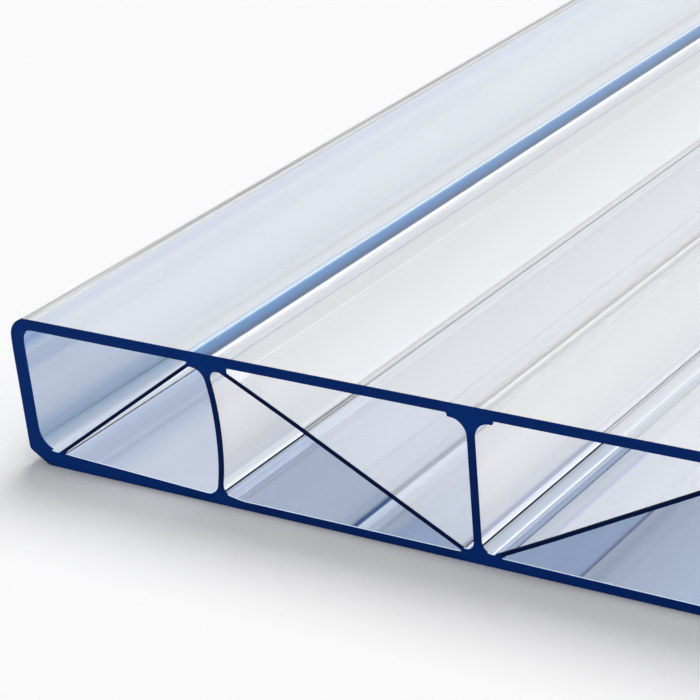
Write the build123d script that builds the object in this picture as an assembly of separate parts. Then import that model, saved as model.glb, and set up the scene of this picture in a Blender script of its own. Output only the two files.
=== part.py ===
from build123d import *
import math
import os

# Clear multiwall sheet, one extrusion: two skins tied by upright webs, with a thin
# slanting web across every cell. Millimetres. X runs across the sheet, Y along the
# flutes and Z up. The origin is on the underside, at the middle of the sheet.

# Sheet
sheet_length = 2000.0
sheet_thickness = 16.0
web_pitch = 29.1
edge_cell = 24.4           # outer face of the edge wall to the middle of the first web
pairs_per_half = 8         # pairs of cells between an edge cell and the middle web

# Skins and upright webs
top_skin = 1.0
bottom_skin = 0.9
web = 0.8
pad_depth = 0.4            # pad under the top skin, at the webs with no slants there
pad_reach = 2.4
node_depth = 0.6           # thickening under the top skin where two slants start
foot_skin = 1.3            # bottom skin where two slants end
thick_skin = 1.1           # bottom skin where a flute under a rising slant begins
ramp_rise = 0.4            # ramp on the bottom skin, against the webs with no slants there
ramp_reach = 2.5

# Slanting webs, placed by their middle line
slant = 0.38
slant_head = 1.75          # from the middle of the upright web, at the top
falling_foot = 1.85        # and at the bottom, on the left of a web
rising_foot = 2.15         # and on its right
slant_knee = 0.14          # how far a slant bends out of line
knee_share = 0.18          # where along it that bend is
knee_radius = 180.0

# Edge wall, whose outer face leans in towards a bevelled lower corner
edge_wall = 1.35
wall_lean = 0.5
lean_start = 3.5           # depth below the top face where the lean begins
lean_radius = 30.0
bevel_width = 2.3
bevel_height = 1.45

# Edge cell, with a first web that is bowed away from the edge
edge_top_skin = 1.1
edge_foot_skin = 1.65
edge_web = 0.62
edge_web_foot = 24.28      # from the sheet's outer face to the middle of the web
edge_web_head = 23.98
edge_web_bow = 1.38        # before the bow is rounded off
edge_web_bow_radius = 25.0
edge_slant = 0.36
edge_slant_foot = 4.57     # from the sheet's outer face
edge_slant_head = 2.6      # from the middle of the first web

# Corner radii
outer_radius = 2.1
bevel_top_radius = 0.6
bevel_foot_radius = 1.8
wall_head_radius = 1.4
wall_foot_radius = 2.3
edge_head_radius = 1.5
bow_head_radius = 0.95
head_radius = 0.8
pad_radius = 1.7
heel_radius = 1.3
ramp_head_radius = 0.95
ramp_foot_radius = 3.0
falling_foot_radius = 0.85
rising_foot_radius = 1.1
blunt_radius = 0.4
tip_radius = 0.15
step_radius = 0.12

half_width = edge_cell + 2 * pairs_per_half * web_pitch
ceiling = sheet_thickness - top_skin
pad_face = ceiling - pad_depth
node_face = ceiling - node_depth
edge_ceiling = sheet_thickness - edge_top_skin
LEFT = -1
RIGHT = 1


class Slant:
    """The two sides of a slanting web, from the foot and head of its middle line."""

    def __init__(self, foot_x, foot_z, head_x, head_z, thickness):
        self.foot_x = foot_x
        self.foot_z = foot_z
        self.run = head_x - foot_x
        self.rise = head_z - foot_z
        self.length = math.hypot(self.run, self.rise)
        self.half = thickness / 2 * self.length / self.rise

    def x(self, z, side):
        """Where one side crosses the height z."""
        return self.foot_x + (z - self.foot_z) * self.run / self.rise + side * self.half

    def knee(self, share, side, offset):
        """A point that share of the way up one side, moved off its line, upwards if positive."""
        z = self.foot_z + self.rise * share
        tilt = math.copysign(offset / self.length, self.run)
        return self.x(z, side) - tilt * self.rise, z + abs(self.run) * offset / self.length


def outline(*corners):
    """A face from corners given as x, z and radius."""
    points = [(x, z) for x, z, _ in corners]
    radii = [radius for _, _, radius in corners]
    return make_face(FilletPolyline(*points, radius=radii, close=True))


def upright(middle, side):
    """One side of a plain upright web."""
    return middle + side * web / 2


def first_web(side):
    """One side of the bowed first web: its foot, the middle of its bow, and its head."""
    foot = edge_web_foot - half_width + side * edge_web / 2
    head = edge_web_head - half_width + side * edge_web / 2
    bow = (foot + head) / 2 + edge_web_bow
    return foot, (bow, (bottom_skin + node_face) / 2, edge_web_bow_radius), head


def edge_cell_flutes():
    """The two flutes of the edge cell, either side of a slant that rises from the edge."""
    outer = -half_width
    rising = Slant(
        outer + edge_slant_foot,
        edge_foot_skin,
        outer + edge_cell - edge_slant_head,
        node_face,
        edge_slant,
    )
    foot, bow, head = first_web(LEFT)
    upper = outline(
        (outer + edge_wall, edge_ceiling, wall_head_radius),
        (outer + edge_wall, sheet_thickness - lean_start, lean_radius),
        (outer + edge_wall + wall_lean, edge_foot_skin, wall_foot_radius),
        (rising.x(edge_foot_skin, LEFT), edge_foot_skin, blunt_radius),
        (rising.x(edge_ceiling, LEFT), edge_ceiling, tip_radius),
    )
    lower = outline(
        (rising.x(edge_foot_skin, RIGHT), edge_foot_skin, tip_radius),
        (foot, bottom_skin, heel_radius),
        bow,
        (head, node_face, edge_head_radius),
        (rising.x(node_face, RIGHT), node_face, blunt_radius),
    )
    return [upper, lower]


def falling_cell_flutes(left, right, first):
    """The two flutes of a cell whose slant falls from its left web to its right one."""
    falling = Slant(right - falling_foot, foot_skin, left + slant_head, node_face, slant)
    if first:
        foot, bow, head = first_web(RIGHT)
        web_side = [bow, (head, node_face, bow_head_radius)]
    else:
        foot = upright(left, RIGHT)
        web_side = [(foot, node_face, head_radius)]
    lower = outline(
        (foot + ramp_reach, bottom_skin, ramp_foot_radius),
        (foot, bottom_skin + ramp_rise, ramp_head_radius),
        *web_side,
        (falling.x(node_face, LEFT), node_face, blunt_radius),
        (*falling.knee(1 - knee_share, LEFT, slant_knee), knee_radius),
        (falling.x(bottom_skin, LEFT), bottom_skin, tip_radius),
    )
    side = upright(right, LEFT)
    upper = outline(
        (falling.x(node_face, RIGHT), ceiling, step_radius),
        (falling.x(node_face, RIGHT), node_face, step_radius),
        (*falling.knee(1 - knee_share, RIGHT, slant_knee), knee_radius),
        (falling.x(foot_skin, RIGHT), foot_skin, blunt_radius),
        (side, foot_skin, falling_foot_radius),
        (side, pad_face, pad_radius),
        (right - pad_reach, pad_face, step_radius),
        (right - pad_reach, ceiling, step_radius),
    )
    return [lower, upper]


def rising_cell_flutes(left, right):
    """The two flutes of a cell whose slant rises from its left web to its right one."""
    rising = Slant(left + rising_foot, foot_skin, right - slant_head, node_face, slant)
    side = upright(left, RIGHT)
    upper = outline(
        (side, foot_skin, rising_foot_radius),
        (side, pad_face, pad_radius),
        (left + pad_reach, pad_face, step_radius),
        (left + pad_reach, ceiling, step_radius),
        (rising.x(ceiling, LEFT), ceiling, tip_radius),
        (*rising.knee(knee_share, LEFT, -slant_knee), knee_radius),
        (rising.x(foot_skin, LEFT), foot_skin, blunt_radius),
    )
    side = upright(right, LEFT)
    lower = outline(
        (rising.x(thick_skin, RIGHT), thick_skin, tip_radius),
        (side - ramp_reach, bottom_skin, ramp_foot_radius),
        (side, bottom_skin + ramp_rise, ramp_head_radius),
        (side, node_face, head_radius),
        (rising.x(node_face, RIGHT), node_face, blunt_radius),
        (*rising.knee(knee_share, RIGHT, -slant_knee), knee_radius),
    )
    return [upper, lower]


def half_flutes():
    """Every flute from the left edge to the middle web."""
    flutes = edge_cell_flutes()
    for pair in range(pairs_per_half):
        left = edge_cell - half_width + 2 * pair * web_pitch
        middle = left + web_pitch
        flutes += falling_cell_flutes(left, middle, pair == 0)
        flutes += rising_cell_flutes(middle, middle + web_pitch)
    return flutes


def sheet_section():
    """The sheet's cross-section: its outer outline less the flutes of both halves."""
    corners = [
        (half_width, sheet_thickness, outer_radius),
        (half_width, sheet_thickness - lean_start, lean_radius),
        (half_width - wall_lean, bevel_height, bevel_top_radius),
        (half_width - wall_lean - bevel_width, 0, bevel_foot_radius),
    ]
    mirrored = [(-x, z, radius) for x, z, radius in reversed(corners)]
    left = half_flutes()
    right = [mirror(flute, about=Plane.YZ) for flute in left]
    holes = [flute.face().outer_wire() for flute in left + right]
    return Face(outline(*corners, *mirrored).face().outer_wire(), holes)


sheet = extrude(Plane.XZ * sheet_section(), amount=sheet_length / 2, both=True)
sheet.label = "multiwall_sheet"
os.makedirs("parts", exist_ok=True)
export_step(sheet, "parts/multiwall_sheet.step")
print("sheet", sheet.bounding_box().size, "volume cm3", round(sheet.volume / 1000, 1))
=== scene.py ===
# %% [markdown]
# # Clear multiwall sheet
#
# The sheet is one long extrusion of clear polycarbonate: two skins, upright webs between
# them, and a thin slanting web across every cell. The CAD model already holds its size.
# This notebook builds the same sheet again in Blender with finer corners and chamfered
# ends, so that it can carry a different finish on every kind of wall.

# %% Load the frame
import bpy, math
from mathutils import Matrix, Vector


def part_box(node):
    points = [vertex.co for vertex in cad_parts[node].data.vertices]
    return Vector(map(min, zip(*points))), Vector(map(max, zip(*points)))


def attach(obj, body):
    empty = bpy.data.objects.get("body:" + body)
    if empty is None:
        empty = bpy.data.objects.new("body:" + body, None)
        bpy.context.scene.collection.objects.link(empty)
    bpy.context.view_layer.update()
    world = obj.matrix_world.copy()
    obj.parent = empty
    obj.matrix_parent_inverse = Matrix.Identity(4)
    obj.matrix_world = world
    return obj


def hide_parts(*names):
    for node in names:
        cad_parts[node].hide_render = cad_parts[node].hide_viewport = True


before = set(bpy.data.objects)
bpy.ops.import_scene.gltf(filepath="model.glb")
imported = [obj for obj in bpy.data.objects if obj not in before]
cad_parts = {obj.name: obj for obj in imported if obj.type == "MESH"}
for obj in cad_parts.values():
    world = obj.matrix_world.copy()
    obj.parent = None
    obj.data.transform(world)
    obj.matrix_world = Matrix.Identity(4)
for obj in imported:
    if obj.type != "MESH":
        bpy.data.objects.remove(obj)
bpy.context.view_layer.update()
scene = bpy.context.scene
scene.view_settings.view_transform = "Standard"

# %% [markdown]
# ## Sizes of the section
#
# The length, the width and the thickness come from the frame. The walls are far too thin
# to be read from a box, so their sizes are named here, in metres. X runs across the sheet,
# Y along the flutes and Z up, and the cut that faces the camera is at the low end of Y.

# %% Driving sizes
MM = 0.001
box_low, box_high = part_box("multiwall_sheet")
half_width = box_high[0]
thickness = box_high[2]
cut_y = box_low[1]
sheet_length = box_high[1] - box_low[1]
web_pitch = 29.1 * MM
half_web = 0.4 * MM
pairs_per_half = 8
edge_cell = half_width - 2 * pairs_per_half * web_pitch
print("edge cell", round(edge_cell / MM, 2), "mm")

# %% Heights of the inner faces
ceiling = thickness - 1.0 * MM          # underside of the top skin
pad_face = ceiling - 0.4 * MM           # underside of a pad
node_face = ceiling - 0.6 * MM          # underside of a node, where two slants start
edge_ceiling = thickness - 1.1 * MM     # underside of the top skin in an edge cell
floor_face = 0.9 * MM                   # upper side of the bottom skin
thick_floor = 1.1 * MM                  # the same, where a flute under a rising slant begins
foot_face = 1.3 * MM                    # the same, where two slants end
edge_foot_face = 1.65 * MM              # the same, above the slant of an edge cell
ramp_top = floor_face + 0.4 * MM        # top of the ramp against a web
ramp_reach = 2.5 * MM
pad_reach = 2.4 * MM
print("a flute is up to", round((ceiling - floor_face) / MM, 2), "mm high")

# %% [markdown]
# ## A slanting web
#
# Each slant is a thin flat web that runs corner to corner across a cell. Only its two
# sides matter for the flutes, so a slant is kept as the foot and head of its middle line,
# and gives the place where either side crosses a height.

# %% The two sides of a slant
LEFT = -1
RIGHT = 1
knee_share = 0.18
knee_offset = 0.14 * MM


class Slant:
    """The two sides of a slanting web, from the foot and head of its middle line."""

    def __init__(self, foot_x, foot_z, head_x, head_z, wall):
        self.foot_x = foot_x
        self.foot_z = foot_z
        self.run = head_x - foot_x
        self.rise = head_z - foot_z
        self.length = math.hypot(self.run, self.rise)
        self.half = wall / 2 * self.length / self.rise

    def x(self, z, side):
        """Where one side crosses the height z."""
        return self.foot_x + (z - self.foot_z) * self.run / self.rise + side * self.half

    def knee(self, share, side, offset):
        """A point that share of the way up one side, moved a little off its line."""
        z = self.foot_z + self.rise * share
        tilt = math.copysign(offset / self.length, self.run)
        return self.x(z, side) - tilt * self.rise, z + abs(self.run) * offset / self.length


print("a slant bends by", knee_offset / MM, "mm")

# %% [markdown]
# ## Helpers for flat outlines
#
# An outline starts as a filled circle with one vertex for each corner. Every vertex is
# pulled to its corner, and then a vertex bevel rounds the corners one by one. A bevel is
# measured along the edges, so the radius is turned into a length with the corner's angle.

# %% Selecting
SELECT_MODES = {"vertices": "VERT", "edges": "EDGE", "polygons": "FACE"}


def select_only(*objects):
    """Select these objects and nothing else, the first one active."""
    bpy.ops.object.select_all(action="DESELECT")
    for item in objects:
        item.select_set(True)
    bpy.context.view_layer.objects.active = objects[0]


def pick(item, kind, wanted):
    """Select the vertices, edges or faces that wanted() accepts, and stay in edit mode."""
    select_only(item)
    bpy.ops.object.mode_set(mode="EDIT")
    bpy.ops.mesh.select_mode(type=SELECT_MODES[kind])
    bpy.ops.mesh.select_all(action="DESELECT")
    bpy.ops.object.mode_set(mode="OBJECT")
    for element in getattr(item.data, kind):
        element.select = wanted(element)
    bpy.ops.object.mode_set(mode="EDIT")


print("selecting helpers ready")


# %% Drawing an outline
SAME_PLACE = 1e-7
FEWEST_STEPS = 2
MOST_STEPS = 10


def outline(name, corners):
    """A flat face in the plane of the cut, from corners given as x, z and radius."""
    bpy.ops.object.select_all(action="DESELECT")
    bpy.ops.mesh.primitive_circle_add(vertices=len(corners), fill_type="NGON", location=(0, 0, 0))
    flat = bpy.context.object
    flat.name = name
    points = [Vector((x, cut_y, z)) for x, z, _ in corners]
    for vertex, point in zip(flat.data.vertices, points):
        vertex.co = point
    for index, (x, z, radius) in enumerate(corners):
        corner = points[index]
        towards = points[index - 1] - corner
        onwards = points[(index + 1) % len(points)] - corner
        turn = math.pi - towards.angle(onwards)
        steps = round(turn * math.sqrt(radius / MM) * 6)
        pick(flat, "vertices", lambda vertex: (vertex.co - corner).length < SAME_PLACE)
        bpy.ops.mesh.bevel(
            affect="VERTICES",
            offset_type="ABSOLUTE",
            offset=radius * math.tan(turn / 2),
            segments=max(FEWEST_STEPS, min(MOST_STEPS, steps)),
        )
        bpy.ops.object.mode_set(mode="OBJECT")
    return flat


print("a rounded corner has", FEWEST_STEPS, "to", MOST_STEPS, "facets")

# %% [markdown]
# ## The flutes
#
# A cell holds two flutes, one above its slant and one below it. Two slants start side by
# side under every second web, where the top skin is thicker, and the webs between them
# carry a pad instead. Seven outlines make the whole sheet: two for the edge cell, one
# beside the bowed first web, and four for a plain pair of cells. The radii come first,
# since several corners share one.

# %% Corner radii
lean_radius = 30 * MM
wall_head_radius = 1.4 * MM
wall_foot_radius = 2.3 * MM
edge_head_radius = 1.5 * MM
bow_radius = 25 * MM
bow_head_radius = 0.95 * MM
head_radius = 0.8 * MM
pad_radius = 1.7 * MM
heel_radius = 1.3 * MM
ramp_head_radius = 0.95 * MM
ramp_foot_radius = 3.0 * MM
falling_foot_radius = 0.85 * MM
rising_foot_radius = 1.1 * MM
knee_radius = 180 * MM
blunt_radius = 0.4 * MM
tip_radius = 0.15 * MM
step_radius = 0.12 * MM
print("corners are rounded by", step_radius / MM, "to", knee_radius / MM, "mm")

# %% Edge cell
edge_wall = 1.35 * MM
wall_lean = 0.5 * MM
lean_start = 3.5 * MM
half_edge_web = 0.31 * MM
edge_web_foot = 24.28 * MM - half_width
edge_web_head = 23.98 * MM - half_width
edge_web_bow = (edge_web_foot + edge_web_head) / 2 + 1.38 * MM
bow_z = (floor_face + node_face) / 2
outer = -half_width
edge_slant_wall = 0.36 * MM
edge_slant_foot = outer + 4.57 * MM
edge_slant_head = outer + edge_cell - 2.6 * MM
edge_slant = Slant(edge_slant_foot, edge_foot_face, edge_slant_head, node_face, edge_slant_wall)
edge_upper = outline("edge_upper", [
    (outer + edge_wall, edge_ceiling, wall_head_radius),
    (outer + edge_wall, thickness - lean_start, lean_radius),
    (outer + edge_wall + wall_lean, edge_foot_face, wall_foot_radius),
    (edge_slant.x(edge_foot_face, LEFT), edge_foot_face, blunt_radius),
    (edge_slant.x(edge_ceiling, LEFT), edge_ceiling, tip_radius),
])
edge_lower = outline("edge_lower", [
    (edge_slant.x(edge_foot_face, RIGHT), edge_foot_face, tip_radius),
    (edge_web_foot - half_edge_web, floor_face, heel_radius),
    (edge_web_bow - half_edge_web, bow_z, bow_radius),
    (edge_web_head - half_edge_web, node_face, edge_head_radius),
    (edge_slant.x(node_face, RIGHT), node_face, blunt_radius),
])
print("edge flutes", len(edge_upper.data.vertices), len(edge_lower.data.vertices), "vertices")

# %% Slants of a pair of cells
slant_wall = 0.38 * MM
slant_head = 1.75 * MM
falling_foot = 1.85 * MM
rising_foot = 2.15 * MM
left = edge_cell - half_width
middle = left + web_pitch
right = middle + web_pitch
falling = Slant(middle - falling_foot, foot_face, left + slant_head, node_face, slant_wall)
rising = Slant(middle + rising_foot, foot_face, right - slant_head, node_face, slant_wall)
print("a slant is", round(falling.length / MM, 1), "mm long")

# %% Flutes of the falling cells
under_falling = [
    (falling.x(node_face, LEFT), node_face, blunt_radius),
    (*falling.knee(1 - knee_share, LEFT, knee_offset), knee_radius),
    (falling.x(floor_face, LEFT), floor_face, tip_radius),
]
first_lower = outline("first_lower", [
    (edge_web_foot + half_edge_web + ramp_reach, floor_face, ramp_foot_radius),
    (edge_web_foot + half_edge_web, ramp_top, ramp_head_radius),
    (edge_web_bow + half_edge_web, bow_z, bow_radius),
    (edge_web_head + half_edge_web, node_face, bow_head_radius),
    *under_falling,
])
falling_lower = outline("falling_lower", [
    (left + half_web + ramp_reach, floor_face, ramp_foot_radius),
    (left + half_web, ramp_top, ramp_head_radius),
    (left + half_web, node_face, head_radius),
    *under_falling,
])
falling_upper = outline("falling_upper", [
    (falling.x(node_face, RIGHT), ceiling, step_radius),
    (falling.x(node_face, RIGHT), node_face, step_radius),
    (*falling.knee(1 - knee_share, RIGHT, knee_offset), knee_radius),
    (falling.x(foot_face, RIGHT), foot_face, blunt_radius),
    (middle - half_web, foot_face, falling_foot_radius),
    (middle - half_web, pad_face, pad_radius),
    (middle - pad_reach, pad_face, step_radius),
    (middle - pad_reach, ceiling, step_radius),
])
print("first lower flute", len(first_lower.data.vertices), "vertices")

# %% Flutes of the rising cell
rising_upper = outline("rising_upper", [
    (middle + half_web, foot_face, rising_foot_radius),
    (middle + half_web, pad_face, pad_radius),
    (middle + pad_reach, pad_face, step_radius),
    (middle + pad_reach, ceiling, step_radius),
    (rising.x(ceiling, LEFT), ceiling, tip_radius),
    (*rising.knee(knee_share, LEFT, -knee_offset), knee_radius),
    (rising.x(foot_face, LEFT), foot_face, blunt_radius),
])
rising_lower = outline("rising_lower", [
    (rising.x(thick_floor, RIGHT), thick_floor, tip_radius),
    (right - half_web - ramp_reach, floor_face, ramp_foot_radius),
    (right - half_web, ramp_top, ramp_head_radius),
    (right - half_web, node_face, head_radius),
    (rising.x(node_face, RIGHT), node_face, blunt_radius),
    (*rising.knee(knee_share, RIGHT, -knee_offset), knee_radius),
])
pair = [falling_lower, falling_upper, rising_upper, rising_lower]
print("pair of cells", [len(flat.data.vertices) for flat in pair], "vertices")

# %% [markdown]
# ## Repeating the cells
#
# The pair of cells repeats eight times from the edge to the middle of the sheet. An Array
# modifier steps the flutes across, and a Mirror modifier makes the other half. The bowed
# flute stands in for the first plain one, so the plain one starts a pair later.

# %% Array and mirror
def repeat(flat, count):
    """Step an outline across the sheet, one pair of cells at a time."""
    select_only(flat)
    step = flat.modifiers.new("pairs", "ARRAY")
    step.count = count
    step.use_relative_offset = False
    step.use_constant_offset = True
    step.constant_offset_displace = (2 * web_pitch, 0, 0)
    bpy.ops.object.modifier_apply(modifier="pairs")


select_only(falling_lower)
bpy.ops.object.mode_set(mode="EDIT")
bpy.ops.mesh.select_all(action="SELECT")
bpy.ops.transform.translate(value=(2 * web_pitch, 0, 0))
bpy.ops.object.mode_set(mode="OBJECT")
repeat(falling_lower, pairs_per_half - 1)
for flat in (falling_upper, rising_upper, rising_lower):
    repeat(flat, pairs_per_half)
select_only(edge_upper, edge_lower, first_lower, *pair)
bpy.ops.object.join()
flutes = bpy.context.object
mirror = flutes.modifiers.new("other_half", "MIRROR")
mirror.use_mirror_merge = False
bpy.ops.object.modifier_apply(modifier="other_half")
print("flutes in the section", len(flutes.data.polygons))

# %% [markdown]
# ## The cut face and the extrusion
#
# The outer outline is joined to the flutes. Their faces are deleted and their edges kept, and Fill
# then closes the area between the outline and the flutes, as the solid part of the section. It is
# extruded in five steps, with two short ones at either end, because the dark of the cut shows through
# the walls beside it, in a strip with its own finish that paints that dark on as shade.

# %% Outer outline
bevel_top = 1.45 * MM
bevel_width = 2.3 * MM
outer_radius = 2.1 * MM
bevel_top_radius = 0.6 * MM
bevel_foot_radius = 1.8 * MM
side = [
    (half_width, thickness, outer_radius),
    (half_width, thickness - lean_start, lean_radius),
    (half_width - wall_lean, bevel_top, bevel_top_radius),
    (half_width - wall_lean - bevel_width, 0, bevel_foot_radius),
]
sheet = outline("sheet", side + [(-x, z, radius) for x, z, radius in reversed(side)])
print("outer outline", len(sheet.data.vertices), "vertices")

# %% Solid section
rim = 0.03 * MM
strip = 0.15 * MM
wide_strip = 0.35 * MM
select_only(sheet, flutes)
bpy.ops.object.join()
bpy.ops.object.mode_set(mode="EDIT")
bpy.ops.mesh.select_mode(type="EDGE")
bpy.ops.mesh.select_all(action="SELECT")
bpy.ops.mesh.delete(type="ONLY_FACE")
bpy.ops.mesh.select_all(action="SELECT")
bpy.ops.mesh.fill(use_beauty=True)
bpy.ops.mesh.select_all(action="SELECT")
bpy.ops.transform.translate(value=(0, rim, 0))
ends = (strip, wide_strip - strip)
for step in (*ends, sheet_length - 2 * rim - 2 * wide_strip, *reversed(ends)):
    bpy.ops.mesh.extrude_region_move(TRANSFORM_OT_translate={"value": (0, step, 0)})
bpy.ops.mesh.select_all(action="SELECT")
bpy.ops.mesh.normals_make_consistent(inside=False)
bpy.ops.object.mode_set(mode="OBJECT")
print("section extruded", len(sheet.data.polygons), "faces")

# %% [markdown]
# ## Chamfered rims and smooth corners
#
# A saw never leaves a perfectly sharp rim, so each end is inset and pushed out by a few
# hundredths of a millimetre. The top face is cut along the first web on either side with
# Bisect, because the skin over an edge cell has a finish of its own. The rounded corners
# are then shaded smooth, while the rims stay crisp, and weighted normals keep the flat
# walls flat beside the narrow facets.

# %% Chamfered rims
for y in (-1, 1):
    pick(sheet, "polygons", lambda face: face.normal.y * y > 0.99)
    bpy.ops.mesh.inset(thickness=rim, depth=rim)
    bpy.ops.object.mode_set(mode="OBJECT")
print("faces with rims", len(sheet.data.polygons), "box", [round(v / MM, 2) for v in sheet.dimensions])

# %% Edge cells on the top face
for x in (left, -left):
    pick(sheet, "polygons", lambda face: face.normal.z > 0.99 and face.center.z > ceiling + 0.9 * MM)
    bpy.ops.mesh.bisect(plane_co=(x, 0, 0), plane_no=(1, 0, 0))
    bpy.ops.object.mode_set(mode="OBJECT")
print("faces with the top face cut", len(sheet.data.polygons))

# %% Smooth corners
select_only(sheet)
bpy.ops.object.shade_smooth_by_angle(angle=math.radians(30))
weighted = sheet.modifiers.new("weighted", "WEIGHTED_NORMAL")
weighted.keep_sharp = True
bpy.ops.object.modifier_apply(modifier="weighted")
print("modifiers left", len(sheet.modifiers))

# %% [markdown]
# ## Clear plastic, in one helper
#
# Real multiwall sheet is never quite clear. Every wall bends the light, mirrors its
# neighbours and carries a faint milky haze. One Principled shader can do this: part of it
# transmits and refracts, and the rest scatters white light. A fully clear glass shader
# was the other choice, but it needs many more bounces and comes out dark and noisy.
# Fine lines along the flutes, left by the die that the sheet is pushed through, are a
# noise pattern stretched along Y.

# %% Nodes of a material
def new_material(name):
    """A node material whose shader is the plain Principled one."""
    material = bpy.data.materials.new(name)
    material.use_nodes = True
    return material


def plastic_of(material):
    """The Principled shader of a material."""
    return material.node_tree.nodes["Principled BSDF"]


def calc(tree, operation, *values):
    """A Math node. Each value is a plain number or another node's output."""
    node = tree.nodes.new("ShaderNodeMath")
    node.operation = operation
    for slot, value in zip(node.inputs, values):
        if isinstance(value, bpy.types.NodeSocket):
            tree.links.new(value, slot)
        else:
            slot.default_value = value
    return node.outputs[0]


def place_on(tree):
    """The place on the piece, from its object coordinates."""
    return tree.nodes.new("ShaderNodeTexCoord").outputs["Object"]


print("node helpers ready")


# %% Fine lines
def stretched_noise(tree, scale, detail):
    """Noise drawn out into lines, by a scale for each axis of the piece."""
    stretch = tree.nodes.new("ShaderNodeMapping")
    stretch.inputs["Scale"].default_value = scale
    noise = tree.nodes.new("ShaderNodeTexNoise")
    noise.inputs["Scale"].default_value = 1.0
    noise.inputs["Detail"].default_value = detail
    tree.links.new(place_on(tree), stretch.inputs["Vector"])
    tree.links.new(stretch.outputs["Vector"], noise.inputs["Vector"])
    return noise.outputs["Fac"]


def die_lines(material, smooth, rough):
    """Faint lines along the flutes, in the roughness and as a very shallow bump."""
    tree = material.node_tree
    lines = stretched_noise(tree, (900, 3, 900), 3.0)
    gloss = calc(tree, "MULTIPLY_ADD", lines, rough - smooth, smooth)
    tree.links.new(gloss, plastic_of(material).inputs["Roughness"])
    bump = tree.nodes.new("ShaderNodeBump")
    bump.inputs["Strength"].default_value = 0.1
    bump.inputs["Distance"].default_value = 0.01 * MM
    tree.links.new(lines, bump.inputs["Height"])
    tree.links.new(bump.outputs["Normal"], plastic_of(material).inputs["Normal"])


print("line helpers ready")

# %% Clear and plain finishes
polycarbonate_ior = 1.585


def clear_finish(name, tint, clear_share):
    """Clear plastic: this share of it transmits and the rest is a white haze."""
    material = new_material(name)
    plastic = plastic_of(material)
    plastic.inputs["Base Color"].default_value = (*tint, 1)
    plastic.inputs["IOR"].default_value = polycarbonate_ior
    plastic.inputs["Transmission Weight"].default_value = clear_share
    die_lines(material, 0.01, 0.03)
    return material


def plain_finish(name, colour, roughness, specular=0.5, clear_share=0.0):
    """A finish of one colour, for the painted highlight and dark line, for frost and for paper."""
    material = new_material(name)
    plastic = plastic_of(material)
    plastic.inputs["Base Color"].default_value = (*colour, 1)
    plastic.inputs["Roughness"].default_value = roughness
    plastic.inputs["Specular IOR Level"].default_value = specular
    plastic.inputs["Transmission Weight"].default_value = clear_share
    return material


print("finish helpers ready, index of refraction", polycarbonate_ior)

# %% [markdown]
# ## Streaks that follow the section
#
# Corners and thick places work as lenses, so clear sheet shows light and dark streaks along its whole
# length. Each streak keeps its place in the cross-section. A colour ramp can paint them into the
# colour, as painted light and shade: its position is the distance across a pair of cells, the distance
# in from the edge, or the height, and its stops are given in millimetres. The pattern turns round just
# past the middle web, since the right half mirrors the left one.

# %% Streaks
def section_place(tree, kind):
    """A value from 0 to 1 that runs with the section, and the length that it spans."""
    parts = tree.nodes.new("ShaderNodeSeparateXYZ")
    tree.links.new(place_on(tree), parts.inputs[0])
    if kind == "height":
        return calc(tree, "DIVIDE", parts.outputs["Z"], thickness), thickness
    past_middle = calc(tree, "GREATER_THAN", parts.outputs["X"], pad_reach)
    side = calc(tree, "MULTIPLY_ADD", past_middle, -2, 1)
    inwards = calc(tree, "MULTIPLY_ADD", parts.outputs["X"], side, half_width)
    if kind == "edge cell":
        return calc(tree, "DIVIDE", inwards, edge_cell), edge_cell
    from_web = calc(tree, "SUBTRACT", inwards, edge_cell)
    span = 2 * web_pitch
    return calc(tree, "FRACT", calc(tree, "DIVIDE", from_web, span)), span


print("streaks across a pair of cells span", round(2 * web_pitch / MM, 1), "mm")


# %% Ramps
def colour_ramp(tree, fraction, stops):
    """A colour ramp over a fraction. A stop is a position and a colour."""
    ramp = tree.nodes.new("ShaderNodeValToRGB")
    elements = ramp.color_ramp.elements
    elements.remove(elements[1])
    for index, (position, colour) in enumerate(stops):
        stop = elements[0] if index == 0 else elements.new(position)
        stop.position = position
        stop.color = (*colour, 1)
    tree.links.new(fraction, ramp.inputs[0])
    return ramp.outputs["Color"]


def streaks(material, socket, kind, tone, stops):
    """Drive a socket by a ramp. A stop is millimetres and a share of the tone, or a colour."""
    tree = material.node_tree
    fraction, span = section_place(tree, kind)
    placed = []
    for distance, value in stops:
        colour = value if isinstance(value, tuple) else [min(1.0, value * part) for part in tone]
        placed.append((distance * MM / span, colour))
    tree.links.new(colour_ramp(tree, fraction, placed), plastic_of(material).inputs[socket])


def band(start, end, value):
    """Two stops that hold one value from start to end, both in millimetres."""
    return (start, value), (end, value)


print("ramp helpers ready")

# %% [markdown]
# ## Blue skins
#
# The bottom skin and the edge wall look blue, since the light led along the sheet comes back out of
# them. That blue is painted light, a tint on the faces of these skins alone. Light passes two faces of
# such a skin, and each face tints it by the square root of its colour. The outer face has one even
# tint, and the inner face carries the painted light and dark streaks, with its tint worked out from
# the colour that should be seen.

# %% Blue skins
# The even blue of the outer face is painted light, for the light led along the sheet.
behind = (0.6, 0.7, 0.85)
outer_skin = clear_finish("outer_skin", behind, 1.0)


def inner_tint(seen):
    """The tint of the inner face that shows this colour through the outer one."""
    return tuple(min(1.0, (part / 0.95) ** 2 / back) for part, back in zip(seen, behind))


def inner_skin(name, kind, tone, stops):
    """The inner face of a blue skin, with painted light and dark streaks given as the colour that is
    seen.
    """
    material = clear_finish(name, (1, 1, 1), 1.0)
    tinted = []
    for distance, value in stops:
        seen = value if isinstance(value, tuple) else [value * part for part in tone]
        tinted.append((distance, inner_tint(seen)))
    streaks(material, "Base Color", kind, tone, tinted)
    return material


print("outer face of the blue skins", outer_skin.name, behind)
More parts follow.
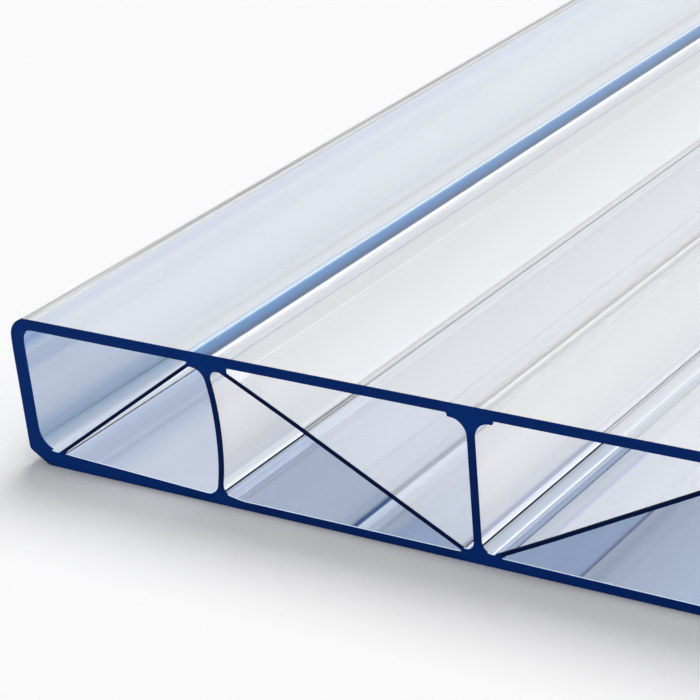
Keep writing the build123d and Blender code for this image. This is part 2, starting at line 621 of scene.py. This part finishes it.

# %% Inner face of the edge wall
# The ramp paints light and dark streaks up the inside of the edge wall.
edge_wall_inner = inner_skin("edge_wall_inner", "height", (0.43, 0.505, 0.64), [
    (1.72, (0.62, 0.70, 0.82)),
    (1.82, (0.54, 0.62, 0.77)),
    (1.97, (0.38, 0.46, 0.61)),
    (2.15, (0.33, 0.41, 0.57)),
    (2.35, (0.30, 0.41, 0.57)),
    (2.6, (0.245, 0.35, 0.51)),
    (3.1, (0.235, 0.35, 0.52)),
    (3.75, (0.25, 0.33, 0.49)),
    (4.2, (0.30, 0.39, 0.55)),
    (5.3, 0.89),
    (6.5, 0.95),
    (8.0, 0.99),
    (9.9, 0.94),
    (10.4, (0.33, 0.41, 0.56)),
    (11.8, (0.34, 0.42, 0.56)),
    (12.2, 0.93),
    (12.6, (0.33, 0.42, 0.60)),
    (13.0, (0.24, 0.34, 0.58)),
    (13.4, (0.16, 0.27, 0.52)),
    (14.1, (0.26, 0.36, 0.58)),
])
print("edge wall:", edge_wall_inner.name)

# %% Bottom skin of an edge cell
# The ramp paints light and dark streaks across the bottom skin of an edge cell.
edge_floor = inner_skin("edge_floor", "edge cell", (0.56, 0.66, 0.86), [
    (4.6, 0.66),
    (5.0, 0.97),
    (6.0, 0.85),
    (7.2, 0.76),
    (8.7, 0.76),
    (9.2, 0.85),
    (9.9, 0.72),
    (10.8, 0.85),
    (12.4, (0.55, 0.62, 0.75)),
    (14.0, (0.60, 0.65, 0.76)),
    (17.0, (0.58, 0.64, 0.76)),
])
print("bottom skin of an edge cell:", edge_floor.name)

# %% Bottom skin of the other cells
# The ramp paints light and dark streaks across the bottom skin, with two nearly black painted lines
# and the blue-grey shade of the floor seen through it.
cell_floor = inner_skin("cell_floor", "pair", (0.36, 0.44, 0.59), [
    (1.4, 1.1),
    (2.3, 1.1),
    (2.7, 0.8),
    (3.2, 1.0),
    (12.6, 0.96),
    (14.7, 0.88),
    (15.1, 0.6),
    *band(15.17, 15.75, (0.002, 0.06, 0.22)),
    (15.85, (0.62, 0.72, 0.85)),
    (16.5, (0.54, 0.64, 0.80)),
    (17.1, 0.95),
    (17.6, 1.05),
    (18.15, 0.66),
    (18.7, 0.86),
    (20.2, (0.22, 0.31, 0.49)),
    (24.5, (0.25, 0.34, 0.53)),
    (29.1, 0.8),
    (33.0, (0.28, 0.37, 0.54)),
    (39.5, (0.24, 0.33, 0.51)),
    *band(39.6, 39.85, (0.01, 0.04, 0.14)),
    (39.95, 0.9),
    (41.1, 0.76),
    (42.2, 0.92),
    (50.0, 1.08),
])
print("bottom skin of the other cells:", cell_floor.name)

# %% [markdown]
# ## Webs and slants
#
# The upright webs catch the light and look milky, with a painted streak of shade a little above the
# foot. The slants are thinner and clearer, with soft steps of painted light and shade across them.
# Where a web meets the bottom skin, its rounded foot shows one nearly black line with a bright one
# just above it, and is milky below them, with painted light and shade beside the webs that carry a
# pad: the black line is painted shade and the bright one a painted highlight.

# %% Finish of the upright webs
def web_finish(name, streak):
    """A milky web, with a painted streak of shade in this colour a little above its foot, and soft
    painted steps of tone up its height.
    """
    material = clear_finish(name, (1, 1, 1), 0.25)
    streaks(material, "Base Color", "height", (0.86, 0.86, 0.87), [
        (2.65, (1.0, 1.0, 1.0)),
        *band(2.85, 3.2, streak),
        (3.5, 0.98),
        (4.8, 0.95),
        (6.2, 1.0),
        (9.4, 1.0),
        (10.8, 0.95),
        (13.6, 0.92),
    ])
    return material


node_web = web_finish("node_web", (0.80, 0.80, 0.87))
pad_web = web_finish("pad_web", (0.57, 0.58, 0.72))
print("upright webs:", node_web.name, pad_web.name)

# %% Finish of the slants
# The ramp paints light and shade across the slants: a nearly black line, a grey line, a blue shade and
# a highlight.
slant_web = clear_finish("slant_web", (1, 1, 1), 0.8)
streaks(slant_web, "Base Color", "pair", (0.98, 0.99, 1.0), [
    (3.0, 0.87),
    (10.5, 0.92),
    *band(10.58, 10.76, (0.005, 0.006, 0.012)),
    (10.84, 0.93),
    (15.0, 0.97),
    (19.9, 0.93),
    *band(19.97, 20.1, 0.66),
    (20.17, 0.93),
    (27.0, 0.93),
    (31.3, (0.33, 0.44, 0.64)),
    (32.3, (0.50, 0.58, 0.74)),
    (33.1, (0.52, 0.58, 0.69)),
    (34.4, (0.62, 0.65, 0.69)),
    (35.3, 0.68),
    *band(35.6, 35.9, 1.0),
    (36.2, 0.93),
    (36.6, 0.86),
    (37.2, 1.0),
    (42.0, 0.98),
    (55.0, 0.98),
])
edge_slant_face = clear_finish("edge_slant_face", (0.94, 0.97, 1.0), 0.75)
print("slants:", slant_web.name, edge_slant_face.name)

# %% Finish of the feet
# Beside the foot of a web with a pad, the ramp paints a highlight and a nearly black line over a
# blue-grey shade; the rest is haze.
foot_haze_and_painted_lines = clear_finish("foot_haze_and_painted_lines", (1, 1, 1), 0.3)
streaks(foot_haze_and_painted_lines, "Base Color", "pair", (0.46, 0.54, 0.68), [
    (2.0, 1.0),
    *band(27.0, 30.55, (0.56, 0.61, 0.71)),
    *band(30.62, 30.86, (0.95, 0.97, 1.0)),
    *band(30.93, 31.3, (0.03, 0.06, 0.13)),
    (31.5, (0.3, 0.38, 0.55)),
    (56.0, 1.0),
])
# A painted highlight and a painted dark line for the feet of the webs; the painted highlight also lies
# under the slant of an edge cell.
painted_highlight = plain_finish("painted_highlight", (0.95, 0.97, 1.0), 0.4, specular=0.0)
painted_dark_line = plain_finish("painted_dark_line", (0.003, 0.005, 0.012), 0.4, specular=0.1)
print("feet:", foot_haze_and_painted_lines.name, painted_highlight.name, painted_dark_line.name)

# %% [markdown]
# ## Top skin
#
# From above, the thick nodes over every second web show as a blue band with a dark rim on one side and
# a white one on the other, and fine lines lie beside the webs between them. They are light bent
# through the walls below, painted on the top face as light and shade. The band is strongest where the
# skin has no haze, so a second ramp drives how clear the skin is.

# %% Top skin
# The ramp paints the blue band with its dark rim and its highlight, and the fine light and dark lines.
top_face = clear_finish("top_face", (1, 1, 1), 0.8)
streaks(top_face, "Base Color", "pair", (0.97, 0.98, 0.98), [
    (0.0, (0.001, 0.035, 0.13)),
    (0.5, (0.001, 0.01, 0.03)),
    (0.62, 1.0),
    (1.1, 0.97),
    (1.5, 0.70),
    (1.9, 0.60),
    (5.3, 0.62),
    (5.6, 0.81),
    (10.0, 0.85),
    (13.0, 0.93),
    (17.3, 0.97),
    (17.85, 1.0),
    *band(17.92, 18.08, (0.09, 0.095, 0.11)),
    (18.15, 0.79),
    (29.2, 0.86),
    *band(29.3, 29.45, 0.66),
    *band(29.9, 30.05, 0.25),
    (30.15, 0.76),
    (30.9, 0.60),
    (31.1, 0.80),
    (41.3, 0.84),
    *band(42.0, 42.5, 1.0),
    *band(42.58, 42.8, (0.002, 0.003, 0.006)),
    (42.9, 0.9),
    (55.8, 0.82),
    (56.5, (0.35, 0.52, 0.75)),
    (56.9, (0.03, 0.20, 0.47)),
])
print("top skin:", top_face.name)

# %% How clear the top skin is
streaks(top_face, "Transmission Weight", "pair", (1, 1, 1), [
    (0.5, 0.9),
    (0.62, 0.3),
    (1.05, 0.3),
    (1.5, 0.7),
    (2.6, 0.78),
    (28.0, 0.78),
    (31.0, 0.7),
    (56.4, 0.7),
    (56.8, 0.9),
])
print("clear shares laid over", top_face.name)

# %% Top skin of the edge cells
# The ramp paints the blue band along the first web, which darkens to navy, over soft steps of tone.
edge_top_face = clear_finish("edge_top_face", (1, 1, 1), 0.8)
streaks(edge_top_face, "Base Color", "edge cell", (0.97, 0.98, 0.98), [
    (2.0, 0.92),
    (18.0, 0.90),
    (21.9, 0.88),
    (22.15, (0.52, 0.60, 0.72)),
    (22.5, (0.45, 0.60, 0.80)),
    (22.75, (0.20, 0.40, 0.65)),
    (23.1, (0.03, 0.20, 0.47)),
    (23.9, (0.01, 0.13, 0.35)),
    (24.4, (0.001, 0.035, 0.13)),
])
streaks(edge_top_face, "Transmission Weight", "edge cell", (1, 1, 1), [
    (18.0, 0.7),
    (20.0, 0.56),
    (22.0, 0.56),
    (22.6, 0.7),
    (23.0, 0.9),
])
print("top skin of the edge cells:", edge_top_face.name)

# %% Underside and corners of the top skin
ceiling_face = clear_finish("ceiling_face", (0.98, 0.99, 1.0), 0.9)
# The corners carry painted light and shade: a highlight beside a node, a pale grey tone at a pad, a
# highlight on the rounded outer edge, and the blue of the band under a node.
corner_haze_and_highlight = clear_finish("corner_haze_and_highlight", (0.95, 0.96, 0.98), 0.4)
pad_corner = clear_finish("pad_corner", (0.80, 0.81, 0.85), 0.6)
outer_corner = clear_finish("outer_corner", (0.97, 0.98, 1.0), 0.15)
node_corner = clear_finish("node_corner", (0.30, 0.45, 0.70), 0.5)
print("underside:", ceiling_face.name)
print("corners:", corner_haze_and_highlight.name, pad_corner.name, outer_corner.name, node_corner.name)

# %% [markdown]
# ## Cut ends
#
# A clear sheet is navy on its cut ends, where one looks along metres of plastic. Thin walls look
# nearly black there, and the thick nodes a stronger blue. Ambient Occlusion set to the inside measures
# just that: it is low where the far side of a wall is close. This navy and its near black are painted
# light and shade in the colour of the cut face. The same dark shows through the walls in a narrow
# strip beside the cut, and is painted there as shade, except on the bottom skin, where the saw has
# left a little white frost that also serves as a painted highlight along the rim.

# %% Cut ends
cut_face = new_material("cut_face")
tree = cut_face.node_tree
navy = plastic_of(cut_face)
navy.inputs["Specular IOR Level"].default_value = 0.02
depth = tree.nodes.new("ShaderNodeAmbientOcclusion")
depth.inside = True
depth.only_local = True
depth.samples = 8
depth.inputs["Distance"].default_value = 1.2 * MM
# The ramp paints the navy of the cut: nearly black in thin walls and at the rims, a stronger blue in
# the thick nodes.
blues = colour_ramp(tree, depth.outputs["AO"], [
    (0.15, (0.0003, 0.001, 0.009)),
    (0.32, (0.001, 0.009, 0.065)),
    (0.6, (0.0012, 0.019, 0.115)),
])
tree.links.new(blues, navy.inputs["Base Color"])
print("cut ends:", cut_face.name)

# %% Saw marks, and frost with a painted highlight
least_rough = 0.35
rough_span = 0.3
marks = stretched_noise(tree, (4000, 100, 400), 2.0)
saw_marks = calc(tree, "MULTIPLY_ADD", marks, rough_span, least_rough)
tree.links.new(saw_marks, navy.inputs["Roughness"])
# Frost on the bottom skin beside the cut, pale enough to stand in also for a painted highlight along
# the rim.
frost_and_highlight = plain_finish("frost_and_highlight", (0.60, 0.66, 0.78), 0.6, clear_share=0.1)
print("frost:", frost_and_highlight.name)

# %% [markdown]
# ## Which wall gets which finish
#
# The mesh has thousands of long narrow faces, far too many to pick by hand. So each face is
# described by its spot: how far in from the edge it is, how high, how near to which web,
# and which way it faces. A few functions, each for one part of the section, name the
# finish or pass the spot on. A finish that reached no face at all is printed at the end.

# %% Spot of a face
class Spot:
    """Where a face lies in the section, and which way it faces."""

    def __init__(self, face):
        x, y, z = face.center
        self.z = z
        self.inwards = half_width - abs(x)
        self.from_end = -cut_y - abs(y)
        self.web = max(0, round((self.inwards - edge_cell) / web_pitch))
        self.offset = self.inwards - edge_cell - self.web * web_pitch
        self.has_pad = self.web % 2 == 1
        self.up = face.normal.z
        self.lean = abs(face.normal.z)
        self.slanting = 0.2 < self.lean < 0.97
        self.heights = [sheet.data.vertices[index].co.z for index in face.vertices]
        self.is_cut = abs(face.normal.y) > 0.99


slack = 0.1 * MM
wide_slack = 0.3 * MM
corner_reach = 2.4 * MM
print("a corner reaches", corner_reach / MM, "mm from its web")


# %% Cut ends and the strip beside them
def end_finish(spot):
    """The finish of a cut end and of the painted dark strip beside it, or None further in."""
    beside_web = abs(spot.offset) > 1.5 * MM
    on_rising = spot.slanting and beside_web and (spot.offset > 0) == spot.has_pad
    if spot.is_cut:
        return cut_face
    if spot.from_end < rim + strip:
        return frost_and_highlight if spot.up > 0.9 and spot.z < edge_foot_face + slack else cut_face
    if spot.from_end < rim + wide_strip and (on_rising or spot.inwards < edge_wall + wall_lean):
        return cut_face
    return None


print("the dark strip is", round((rim + strip) / MM, 2), "mm wide")


# %% Outside of the sheet
def outside_finish(spot):
    """The finish of the outer skin and the edge wall, or None inside the cells."""
    if spot.z < floor_face - wide_slack and spot.up < 0:
        return outer_skin
    if spot.z > ceiling + 0.5 * MM:
        if spot.lean < 0.9:
            return outer_corner
        return edge_top_face if spot.inwards < edge_cell else top_face
    if spot.inwards < edge_wall - wide_slack:
        return outer_corner if spot.z > thickness - 2.2 * MM else outer_skin
    if spot.inwards < edge_wall + wall_lean + corner_reach and spot.z < node_face and spot.up > -0.9:
        return edge_wall_inner
    return None


print("the edge wall is", round(edge_wall / MM, 2), "mm thick")


# %% Under the top skin
def ceiling_finish(spot):
    """The finish under the top skin and in its corners, or None lower down."""
    in_corner = spot.z > ceiling - 3 * MM and spot.lean > 0.25 and abs(spot.offset) < 2.5 * MM
    if not (spot.z > ceiling - 1.2 * MM or in_corner):
        return None
    if spot.has_pad:
        return pad_corner if abs(spot.offset) < 2.6 * MM else ceiling_face
    if spot.up < -0.1 and abs(spot.offset) < corner_reach:
        head = edge_web_head + half_width - edge_cell if spot.web == 0 else 0
        return node_corner if spot.offset < head else corner_haze_and_highlight
    return ceiling_face


print("the ceiling lies at", round(ceiling / MM, 2), "mm")

# %% Feet of the webs, by place
line_height = {False: 1.5 * MM, True: 1.94 * MM}
highlight_height = {False: 0.5 * MM, True: 0.6 * MM}


def foot_finish(spot):
    """The finish of the painted dark line, the painted highlight and the milky part, with its painted
    light and shade, of a web's foot, or None elsewhere.
    """
    line = line_height[spot.has_pad]
    if 0.1 * MM < abs(spot.offset) < 1.3 * MM and spot.z < 3 * MM and spot.up > 0.02:
        if min(spot.heights) <= line < max(spot.heights):
            return painted_dark_line
        if 0 < spot.z - line < highlight_height[spot.has_pad]:
            return painted_highlight
        if spot.z < line and not (spot.web == 0 and spot.offset < 0):
            return foot_haze_and_painted_lines
    low = spot.z < foot_face + wide_slack and spot.up > 0
    if spot.has_pad and 0 < spot.offset < corner_reach and low:
        return foot_haze_and_painted_lines
    return None


print("the dark line at a foot is at", [round(z / MM, 2) for z in line_height.values()], "mm")


# %% Bottom skin, slants and webs, by place
def inside_finish(spot):
    """The finish of the bottom skin, the slants and the webs."""
    if spot.z < edge_foot_face + slack and spot.lean > 0.5:
        return edge_floor if spot.web == 0 and spot.offset < 0 else cell_floor
    if spot.slanting and spot.inwards < edge_cell - 1.0 * MM:
        # The underside of an edge slant gets the painted highlight.
        return painted_highlight if spot.up < 0 else edge_slant_face
    if spot.slanting:
        return slant_web
    return pad_web if spot.has_pad else node_web


print("the slants of a pair of cells:", slant_web.name)

# %% Finish by place
finishes = [
    top_face, edge_top_face, ceiling_face, corner_haze_and_highlight, pad_corner, outer_corner, node_corner,
    node_web, pad_web, slant_web, edge_slant_face, foot_haze_and_painted_lines, painted_highlight, painted_dark_line,
    edge_wall_inner, edge_floor, cell_floor, outer_skin, cut_face, frost_and_highlight,
]
sheet.data.materials.clear()
for finish in finishes:
    sheet.data.materials.append(finish)


def finish_at(face):
    """The finish of one face, from the first function that knows its spot."""
    spot = Spot(face)
    for known_by in (end_finish, outside_finish, ceiling_finish, foot_finish):
        finish = known_by(spot)
        if finish is not None:
            return finish
    return inside_finish(spot)


counts = {finish.name: 0 for finish in finishes}
for face in sheet.data.polygons:
    finish = finish_at(face)
    face.material_index = finishes.index(finish)
    counts[finish.name] += 1
print(counts)
print("finishes that reached no face:", [name for name in counts if counts[name] == 0])
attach(sheet, "root")
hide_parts("multiwall_sheet")

# %% [markdown]
# ## Floor
#
# A plain pale floor catches the shadow. Through clear plastic it should look as white as
# the room does, so reflected and transmitted rays see an even white there. It lies a hair
# below the sheet, since two faces in one plane would flicker.

# %% Floor
floor_drop = 0.02 * MM
floor_size = 40
bpy.ops.object.select_all(action="DESELECT")
bpy.ops.mesh.primitive_plane_add(size=floor_size, location=(0, 0, 0))
floor = bpy.context.object
floor.name = "floor"
bpy.ops.object.mode_set(mode="EDIT")
bpy.ops.mesh.select_all(action="SELECT")
bpy.ops.transform.translate(value=(0, 0, -floor_drop))
bpy.ops.object.mode_set(mode="OBJECT")
print("floor at", -floor_drop)


# %% Ray helpers
def bent_rays(tree):
    """A Light Path node, and 1 for the rays that were mirrored or let through."""
    path = tree.nodes.new("ShaderNodeLightPath")
    bent = calc(tree, "MAXIMUM", path.outputs["Is Glossy Ray"], path.outputs["Is Transmission Ray"])
    return path, bent


def blend_shaders(tree, share, usual, other, surface):
    """Blend two shaders by this share of the other one, into a surface socket."""
    blend = tree.nodes.new("ShaderNodeMixShader")
    tree.links.new(share, blend.inputs[0])
    tree.links.new(usual.outputs[0], blend.inputs[1])
    tree.links.new(other.outputs[0], blend.inputs[2])
    tree.links.new(blend.outputs[0], surface)


print("ray helpers ready")

# %% Floor finish
pale = (0.95, 0.95, 0.95)
paper = plain_finish("floor_paper", pale, 1.0, specular=0.0)
tree = paper.node_tree
glow = tree.nodes.new("ShaderNodeEmission")
glow.inputs["Color"].default_value = (*pale, 1)
path, bent = bent_rays(tree)
surface = tree.nodes["Material Output"].inputs["Surface"]
blend_shaders(tree, bent, plastic_of(paper), glow, surface)
floor.data.materials.append(paper)
print("floor finish", paper.name)

# %% [markdown]
# ## White room
#
# The room is white for the camera and for what the plastic mirrors and lets through. Its
# light on the sheet and the floor is kept lower, so that pale surfaces don't clip.

# %% World
room_light = 0.38
room_white = 0.96
world = bpy.data.worlds.new("studio")
scene.world = world
world.use_nodes = True
tree = world.node_tree
room = tree.nodes["Background"]
room.inputs["Color"].default_value = (1, 1, 1, 1)
room.inputs["Strength"].default_value = room_light
seen = tree.nodes.new("ShaderNodeBackground")
seen.inputs["Color"].default_value = (1, 1, 1, 1)
seen.inputs["Strength"].default_value = room_white
path, bent = bent_rays(tree)
shown = calc(tree, "MAXIMUM", bent, path.outputs["Is Camera Ray"])
blend_shaders(tree, shown, room, seen, tree.nodes["World Output"].inputs["Surface"])
print("room light", room_light, "and room white", room_white)

# %% [markdown]
# ## Soft lamps
#
# Two lamps light the floor and throw the sheet's shadow to the front and a little to the
# left. A clear sheet shades its own inside far less than an opaque one would, so the sheet
# has three lamps of its own that only the floor can block. Light linking keeps them apart.
# One comes from the camera's side, one from the left for the edge, and one from below,
# which casts no shadow, stands for the light that the floor throws back.

# %% Lamp helper
def sun(name, strength, spread, tilt, turn, lights, shaded_by):
    """A soft distant lamp. Its spread, tilt and turn are in degrees."""
    bpy.ops.object.light_add(type="SUN", location=(0, 0, 2))
    lamp = bpy.context.object
    lamp.name = name
    lamp.data.energy = strength
    lamp.data.angle = math.radians(spread)
    lamp.rotation_euler = (math.radians(tilt), 0, math.radians(turn))
    lamp.visible_glossy = False
    lamp.visible_transmission = False
    for kind, items in (("receiver_collection", lights), ("blocker_collection", shaded_by)):
        group = bpy.data.collections.new(name + "_" + kind)
        for item in items:
            group.objects.link(item)
        setattr(lamp.light_linking, kind, group)
    return lamp


print("lamp helper ready")

# %% Lamps on the floor
for_floor = {"lights": [floor], "shaded_by": [sheet]}
floor_lamp = sun("floor_lamp", strength=1.96, spread=38, tilt=-32, turn=6, **for_floor)
side_lamp = sun("side_lamp", strength=0.36, spread=45, tilt=-32, turn=-92, **for_floor)
print("lamps on the floor", floor_lamp.name, side_lamp.name)

# %% Lamps on the sheet
for_sheet = {"lights": [sheet], "shaded_by": [floor]}
sheet_lamp = sun("sheet_lamp", strength=2.3, spread=60, tilt=45, turn=45, **for_sheet)
left_lamp = sun("left_lamp", strength=2.0, spread=60, tilt=70, turn=-90, **for_sheet)
bounce_lamp = sun("bounce_lamp", strength=2.0, spread=90, tilt=180, turn=0, **for_sheet)
bounce_lamp.data.use_shadow = False
print("lamps on the sheet", sheet_lamp.name, left_lamp.name, bounce_lamp.name)

# %% [markdown]
# ## Camera
#
# A long lens stands to the right of the near corner and looks down along the flutes. Its
# turn, height and roll make the edges of the sheet fall where the photograph has them.

# %% Viewing direction
camera_place = Vector((-0.3198, -1.185475, 0.118014))
azimuth, elevation, roll = map(math.radians, (34.825, 23.568, -4.863))
ahead = Vector((
    -math.sin(azimuth) * math.cos(elevation),
    math.cos(azimuth) * math.cos(elevation),
    -math.sin(elevation),
))
level = ahead.cross(Vector((0, 0, 1))).normalized()
upright = level.cross(ahead)
across = math.cos(roll) * level + math.sin(roll) * upright
upwards = -math.sin(roll) * level + math.cos(roll) * upright
print("the camera looks along", [round(part, 3) for part in ahead])

# %% Camera
camera_data = bpy.data.cameras.new("camera")
camera = bpy.data.objects.new("camera", camera_data)
scene.collection.objects.link(camera)
stand = Matrix((across, upwards, -ahead)).transposed().to_4x4()
stand.translation = camera_place
camera.matrix_world = stand
camera_data.lens = 138.512
camera_data.sensor_width = 36
camera_data.clip_start = 0.01
camera_data.clip_end = 50
scene.camera = camera
print("camera at", list(stand.translation))

# %% [markdown]
# ## Bounces
#
# A ray that crosses a multiwall sheet passes many faces, so the bounce limits are raised.

# %% Finish
scene.cycles.max_bounces = 24
scene.cycles.transmission_bounces = 20
scene.cycles.transparent_max_bounces = 32
